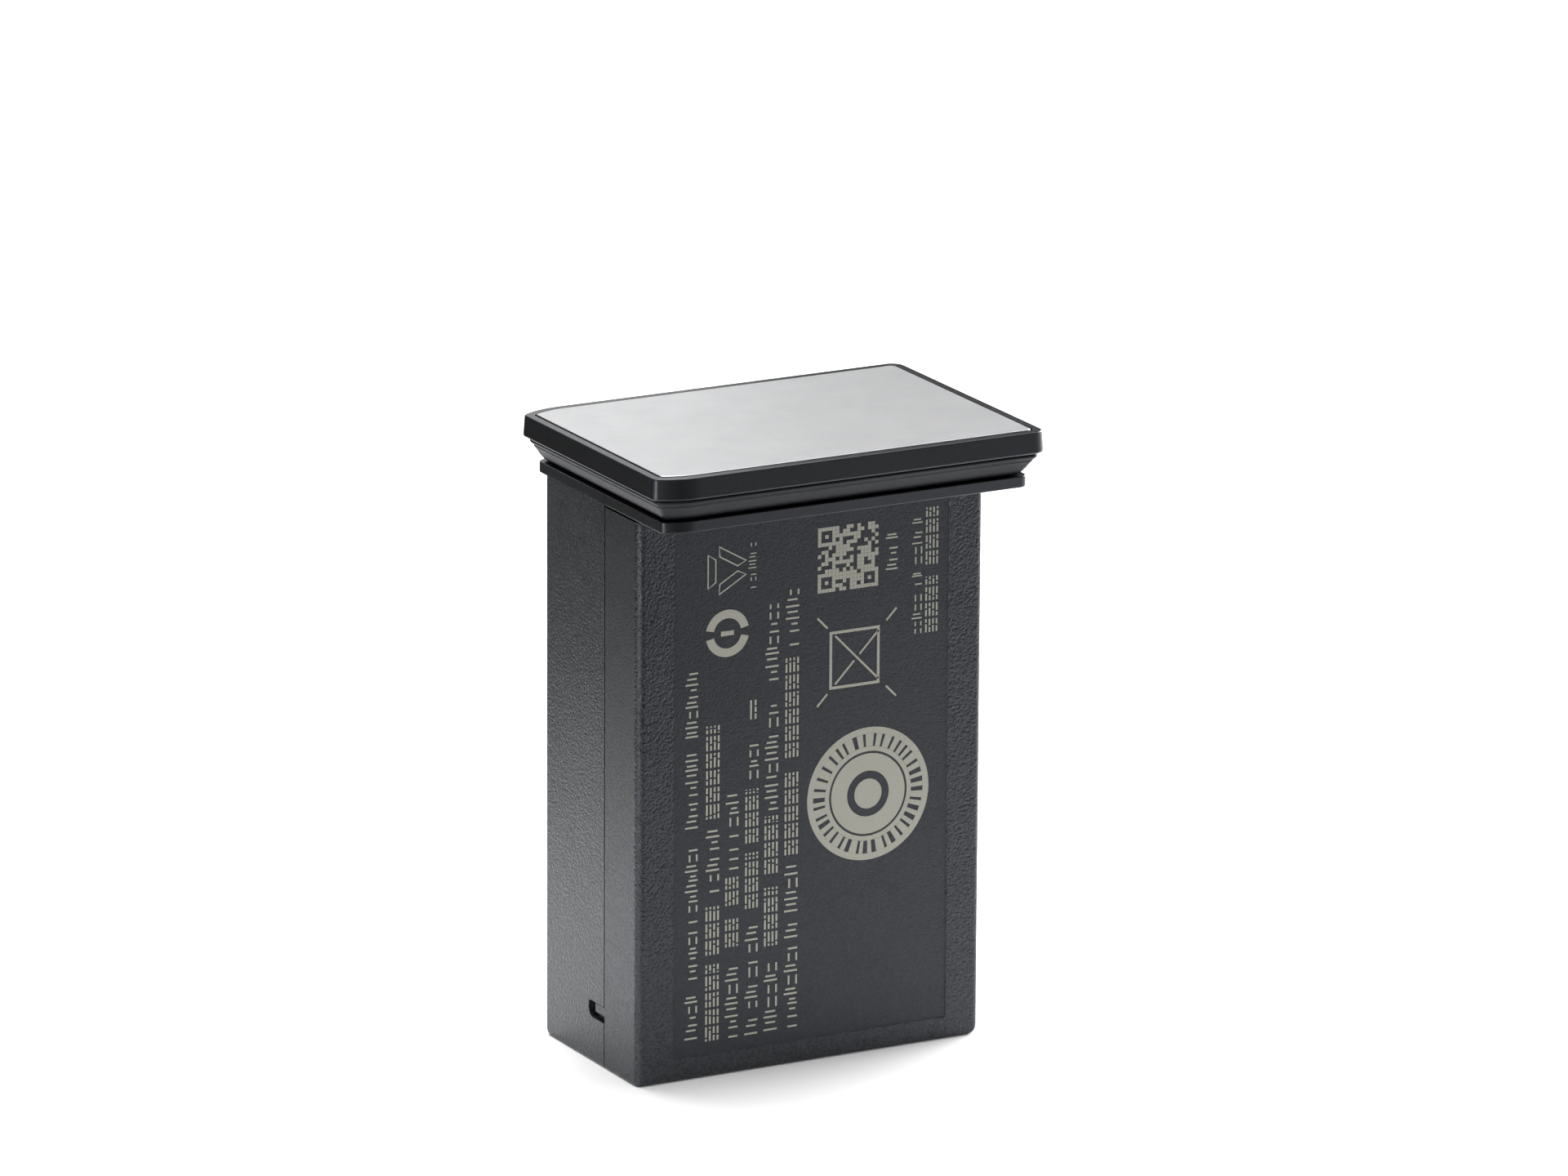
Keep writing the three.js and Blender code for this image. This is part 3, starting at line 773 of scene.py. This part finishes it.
def label_cutter():
    """Shallow field with sloped sides, open at the top edge."""
    slope = 0.08
    front, back = Y0 - 0.5, Y0 + LABEL_DEPTH
    spread = slope * (back - front) / LABEL_DEPTH
    rings = []
    for y, g in ((front, spread), (back, 0.0)):
        rings.append([(LABEL_X0 - g, y, LABEL_Z0 - g), (LABEL_X1 + g, y, LABEL_Z0 - g),
                      (LABEL_X1 + g, y, COVER_TOP + 3), (LABEL_X0 - g, y, COVER_TOP + 3)])
    bm = bmesh.new()
    skin(bm, rings)
    return piece_from(bm, "label")


# ------------------------------------------------------------------ print, as thin ink films
# The films stand INK_THICK proud of the label field and reach INK_ROOT into it.
INK_Y = Y0 + LABEL_DEPTH
INK_THICK, INK_ROOT = 0.015, 0.01


class Ink:
    """Collects closed flat shapes on the label field, given by their x and z."""

    def __init__(self):
        self.bm = bmesh.new()

    def loops(self, outer, inner=None):
        """A closed prism from an outline, or from two outlines of one point count."""
        lay = (INK_Y + INK_ROOT, INK_Y - INK_THICK)
        o = [[self.bm.verts.new((x, y, z)) for x, z in outer] for y in lay]
        n = len(outer)
        for k in range(n):
            j = (k + 1) % n
            self.bm.faces.new((o[0][k], o[0][j], o[1][j], o[1][k]))
        if inner is None:
            self.bm.faces.new(o[0])
            self.bm.faces.new(list(reversed(o[1])))
            return
        i = [[self.bm.verts.new((x, y, z)) for x, z in inner] for y in lay]
        for k in range(n):
            j = (k + 1) % n
            self.bm.faces.new((i[0][j], i[0][k], i[1][k], i[1][j]))
            self.bm.faces.new((o[0][j], o[0][k], i[0][k], i[0][j]))
            self.bm.faces.new((o[1][k], o[1][j], i[1][j], i[1][k]))

    def rect(self, x0, x1, z0, z1):
        self.loops([(x0, z0), (x1, z0), (x1, z1), (x0, z1)])

    def frame(self, x0, x1, z0, z1, w):
        self.loops([(x0, z0), (x1, z0), (x1, z1), (x0, z1)],
                   [(x0 + w, z0 + w), (x1 - w, z0 + w), (x1 - w, z1 - w), (x0 + w, z1 - w)])

    def bar(self, p, q, w):
        p, q = Vector(p), Vector(q)
        side = (q - p).normalized().orthogonal() * (w / 2)
        self.loops([tuple(p - side), tuple(q - side), tuple(q + side), tuple(p + side)])

    def arc(self, cx, cz, r, angles):
        turns = [math.radians(a) for a in angles]
        return [(cx + r * math.cos(t), cz + r * math.sin(t)) for t in turns]

    def sector(self, cx, cz, r0, r1, a0, a1):
        n = max(2, int(abs(a1 - a0) / 6))
        angles = [a0 + (a1 - a0) * k / n for k in range(n + 1)]
        self.loops(self.arc(cx, cz, r1, angles) + self.arc(cx, cz, r0, angles[::-1]))

    def circle(self, cx, cz, r, hole=0.0):
        turn = [5.0 * k for k in range(72)]
        self.loops(self.arc(cx, cz, r, turn), self.arc(cx, cz, hole, turn) if hole else None)


class Draws:
    """A small seeded sequence from 0 to 1, so that the marks are the same each run."""

    STEP, SHIFT, SIZE = 1103515245, 12345, 2147483648

    def __init__(self, seed):
        self.state = seed

    def next(self):
        self.state = (self.state * self.STEP + self.SHIFT) % self.SIZE
        return self.state / self.SIZE


def dense_block(ink, draws, x0, h, z, size, w):
    """Four parallel strokes, each cut in two at a random place."""
    for lane in (0.0, 0.29, 0.58, 0.87):
        cut = z + size * (0.2 + 0.6 * draws.next())
        x = x0 + lane * h
        ink.rect(x, x + w, z, cut - 0.06 * h)
        ink.rect(x, x + w, cut + 0.06 * h, z + size)


def mark_row(ink, draws, x0, x1, z0, z1, dense):
    """A row of plain strokes that stands for a line of small print and forms no letters. The
    row runs up the field, and its feet are toward +X."""
    h = x1 - x0
    w = 0.13 * h
    z = z0
    while z < z1 - 0.3 * h:
        if dense:
            size = min(0.98 * h, z1 - z)
            dense_block(ink, draws, x0, h, z, size, w)
            z += size + 0.2 * h
            continue
        pick = draws.next()
        tall = x0 if pick < 0.35 else x0 + 0.3 * h
        size = min((0.4 + 0.32 * draws.next()) * h, z1 - z)
        if pick < 0.5:
            ink.rect(tall, x1, z, z + w)
            ink.rect(tall + 0.12 * h, x1 - 0.12 * h, z + size - w, z + size)
        elif pick < 0.8:
            ink.rect(x0 + 0.3 * h, x0 + 0.3 * h + w, z, z + size)
            ink.rect(x1 - w, x1, z, z + size)
        else:
            ink.rect(x0 + 0.3 * h, x1, z, z + w)
        z += size + 0.26 * h


# Rows of marks: from x, to x, and blocks as (from z, to z, 1 for dense).
ROWS = [
    (-14.56, -13.2, [(4.04, 9.1, 0), (10.1, 24.3, 0), (25.3, 33.0, 0), (34.4, 42.0, 0)]),
    (-12.3, -10.85, [(3.6, 11.3, 1), (12.3, 17.2, 1), (18.6, 25.0, 0), (26.0, 35.3, 1)]),
    (-10.16, -8.75, [(3.6, 11.6, 0), (12.8, 15.6, 1), (17.0, 19.8, 1), (20.6, 28.4, 0)]),
    (-8.0, -6.6, [(3.6, 15.4, 0), (16.4, 22.0, 1), (23.0, 28.4, 1), (29.4, 33.9, 0)]),
    (-5.9, -4.45, [(3.7, 11.3, 0), (12.3, 18.2, 1), (19.6, 25.4, 1), (26.0, 37.2, 0),
                   (39.0, 46.6, 0)]),
    (-3.7, -2.25, [(3.7, 20.2, 0), (21.2, 30.0, 1), (31.0, 41.3, 1), (42.2, 47.8, 0)]),
    (10.1, 11.2, [(41.6, 45.6, 0), (46.5, 47.7, 0), (48.6, 53.4, 0)]),
    (11.6, 12.95, [(41.6, 47.2, 1), (48.4, 54.1, 1)]),
    (7.2, 8.5, [(48.4, 52.0, 0)]),
    (-7.8, -6.95, [(48.5, 53.0, 0)]),
]


def triangle(ink, cx, cz):
    """Three plain bars round a centre, each an open outline."""
    away, half_deep, line = 1.35, 0.48, 0.13
    long_half, short_half = 1.75, 1.15
    for k in range(3):
        a = math.radians(180 + 120 * k)
        out = Vector((math.cos(a), math.sin(a)))
        t = Vector((-math.sin(a), math.cos(a)))
        m = Vector((cx, cz)) + out * away
        rings = []
        for shrink in (0.0, line):
            deep = out * (half_deep - shrink)
            far, near = t * (long_half - shrink), t * (short_half - 0.6 * shrink)
            rings.append([tuple(v) for v in (m - far + deep, m + far + deep, m + near - deep,
                                             m - near - deep)])
        ink.loops(*rings)


def split_ring(ink, cx, cz):
    """A ring in two halves, with a short bar in the middle."""
    for a in (12, 192):
        ink.sector(cx, cz, 1.5, 2.35, a, a + 156)
    ink.rect(cx - 0.7, cx + 0.7, cz - 0.23, cz + 0.23)


def square_patch(ink, draws, x0, z0):
    """Random small squares, with a framed square in three corners. It encodes nothing."""
    side, count, corner = 6.64, 17, 5
    cell = side / count
    far = count - corner
    for i in range(count):
        for j in range(count):
            on = draws.next() < 0.56
            for ci, cj in ((0, 0), (0, far), (far, 0)):
                if ci <= i < ci + corner and cj <= j < cj + corner:
                    on = max(abs(i - ci - 2), abs(j - cj - 2)) != 1
            if on:
                x, z = x0 + i * cell, z0 + j * cell * 0.98
                ink.rect(x, x + cell * 0.93, z, z + cell * 0.93)


def crossed_box(ink):
    """A box with a cross in it, and a ray outside each corner."""
    ink.frame(1.1, 6.6, 37.2, 43.0, 0.28)
    c, line = Vector((4.1, 40.1)), 0.2
    rising, falling = Vector((0.70, 0.714)), Vector((0.70, -0.714))
    ink.bar(c - falling * 3.4, c + falling * 3.4, line)
    for end in (-1, 1):
        ink.bar(c + rising * end * 0.4, c + rising * end * 3.4, line)
        for d in (rising, falling):
            ink.bar(c + d * end * 4.6, c + d * end * 6.2, line)


def disc(ink, draws, cx, cz):
    """A round mark: two ring lines with a band of random gaps between, and a plain centre."""
    ink.circle(cx, cz, 6.69, 6.05)
    ink.circle(cx, cz, 4.75, 4.28)
    a = 0.0
    while a < 359.0:
        w = 4.0 + 5.0 * draws.next()
        w = min(w, 359.4 - a)
        ink.sector(cx, cz, 4.765, 6.035, a, a + w)
        a += w + 3.0 + 2.0 * (draws.next() > 0.6)
    ink.circle(cx, cz, 4.05, 2.3)
    ink.circle(cx, cz, 1.5)


def make_print():
    ink = Ink()
    draws = Draws(41)
    for x0, x1, blocks in ROWS:
        for z0, z1, dense in blocks:
            mark_row(ink, draws, x0, x1, z0, z1, dense)
    # Two short rules at the end of the fourth row, one of them dashed.
    ink.rect(-7.55, -7.35, 35.4, 37.3)
    for k in range(3):
        ink.rect(-7.05, -6.85, 35.4 + 0.68 * k, 35.94 + 0.68 * k)
    triangle(ink, -10.4, 50.65)
    split_ring(ink, -10.05, 44.33)
    square_patch(ink, draws, -0.24, 47.0)
    crossed_box(ink)
    disc(ink, draws, 5.44, 26.2)
    obj = piece_from(ink.bm, "print_marks")
    obj.data.transform(Matrix.Scale(MM, 4))
    paint(obj, ink_mat)
    return place(obj)


make_lid_frame()
make_panel()
make_seal()
make_rear_shell()
make_front_cover()
make_print()


# ------------------------------------------------------------------ carried-over CAD nodes
def simple(name, low, high, rough, metallic=0.0, scale=2500.0, depth=0.01, stretch=None):
    """A finish with fine variation between two colours. stretch draws the variation out."""
    n = Nodes(name)
    source = n.stretched(*stretch) if stretch else None
    fine = n.noise(scale, 3.0, 0.6, source)
    n.colour(fine, (0.35, low), (0.65, high))
    n.roughness(fine, rough - 0.06, rough + 0.06)
    n.bump(fine, depth)
    n.set(Metallic=metallic)
    return n.material


KINDS = {
    "screw": simple("screw_zinc", (0.42, 0.43, 0.46), (0.58, 0.59, 0.62), 0.34, 1.0),
    "foil": simple("pouch_foil", (0.55, 0.56, 0.58), (0.7, 0.71, 0.73), 0.36, 0.9, 900, 0.05),
    "tab": simple("nickel_strip", (0.55, 0.53, 0.49), (0.68, 0.66, 0.62), 0.3, 1.0, 3000,
                  0.01, (0.2, 1, 1)),
    "tape": simple("tape_paper", (0.66, 0.64, 0.57), (0.78, 0.76, 0.7), 0.8),
    "foam": simple("foam_cells", (0.03, 0.03, 0.033), (0.07, 0.07, 0.075), 0.9, 0, 3500, 0.12),
    "fibre": simple("fibre_sheet", (0.4, 0.33, 0.22), (0.52, 0.44, 0.31), 0.75, 0, 1800, 0.02,
                    (0.3, 1, 1)),
    "board": simple("solder_mask", (0.012, 0.09, 0.035), (0.02, 0.13, 0.055), 0.38, 0, 1500),
    "chip": simple("chip_mould", (0.016, 0.016, 0.018), (0.026, 0.026, 0.028), 0.5, 0, 5000),
    "ceramic": simple("chip_ceramic", (0.2, 0.17, 0.11), (0.32, 0.27, 0.18), 0.5),
    "fuse": simple("fuse_body", (0.52, 0.46, 0.32), (0.64, 0.58, 0.42), 0.45),
    "block": simple("terminal_mould", (0.016, 0.016, 0.018), (0.03, 0.03, 0.033), 0.5, 0, 5000),
    "gold": simple("gold_plate", (0.78, 0.55, 0.2), (0.9, 0.68, 0.3), 0.24, 1.0, 4000, 0.004),
}
# The finish of each node by the start of its name. The first match counts.
NODE_KINDS = [
    ("lid_screw", "screw"), ("cell_bond", "tape"), ("front_tape", "tape"), ("rear_tape", "tape"),
    ("panel_adhesive", "tape"), ("top_foam", "foam"), ("insulator", "fibre"),
    ("protection_board", "board"), ("protection_ic", "chip"), ("dual_mosfet", "chip"),
    ("sense_resistor", "chip"), ("thermistor", "ceramic"), ("thermal_fuse", "fuse"),
    ("terminal_block", "block"), ("contact", "gold"), ("cell_a_tab", "tab"),
    ("cell_b_tab", "tab"), ("cell_", "foil")]
REPLACED = {"rear_shell", "front_cover", "lid_frame", "lid_seal", "lid_panel"}
EDGE_BEVEL = 0.05
for node, obj in sorted(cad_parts.items()):
    if node in REPLACED:
        continue
    kind = next(k for start, k in NODE_KINDS if node.startswith(start))
    paint(obj, KINDS[kind])
    mod = obj.modifiers.new("edge", "BEVEL")
    mod.width = EDGE_BEVEL * MM
    mod.segments = 2
    mod.limit_method = "ANGLE"
    mod.angle_limit = math.radians(50)
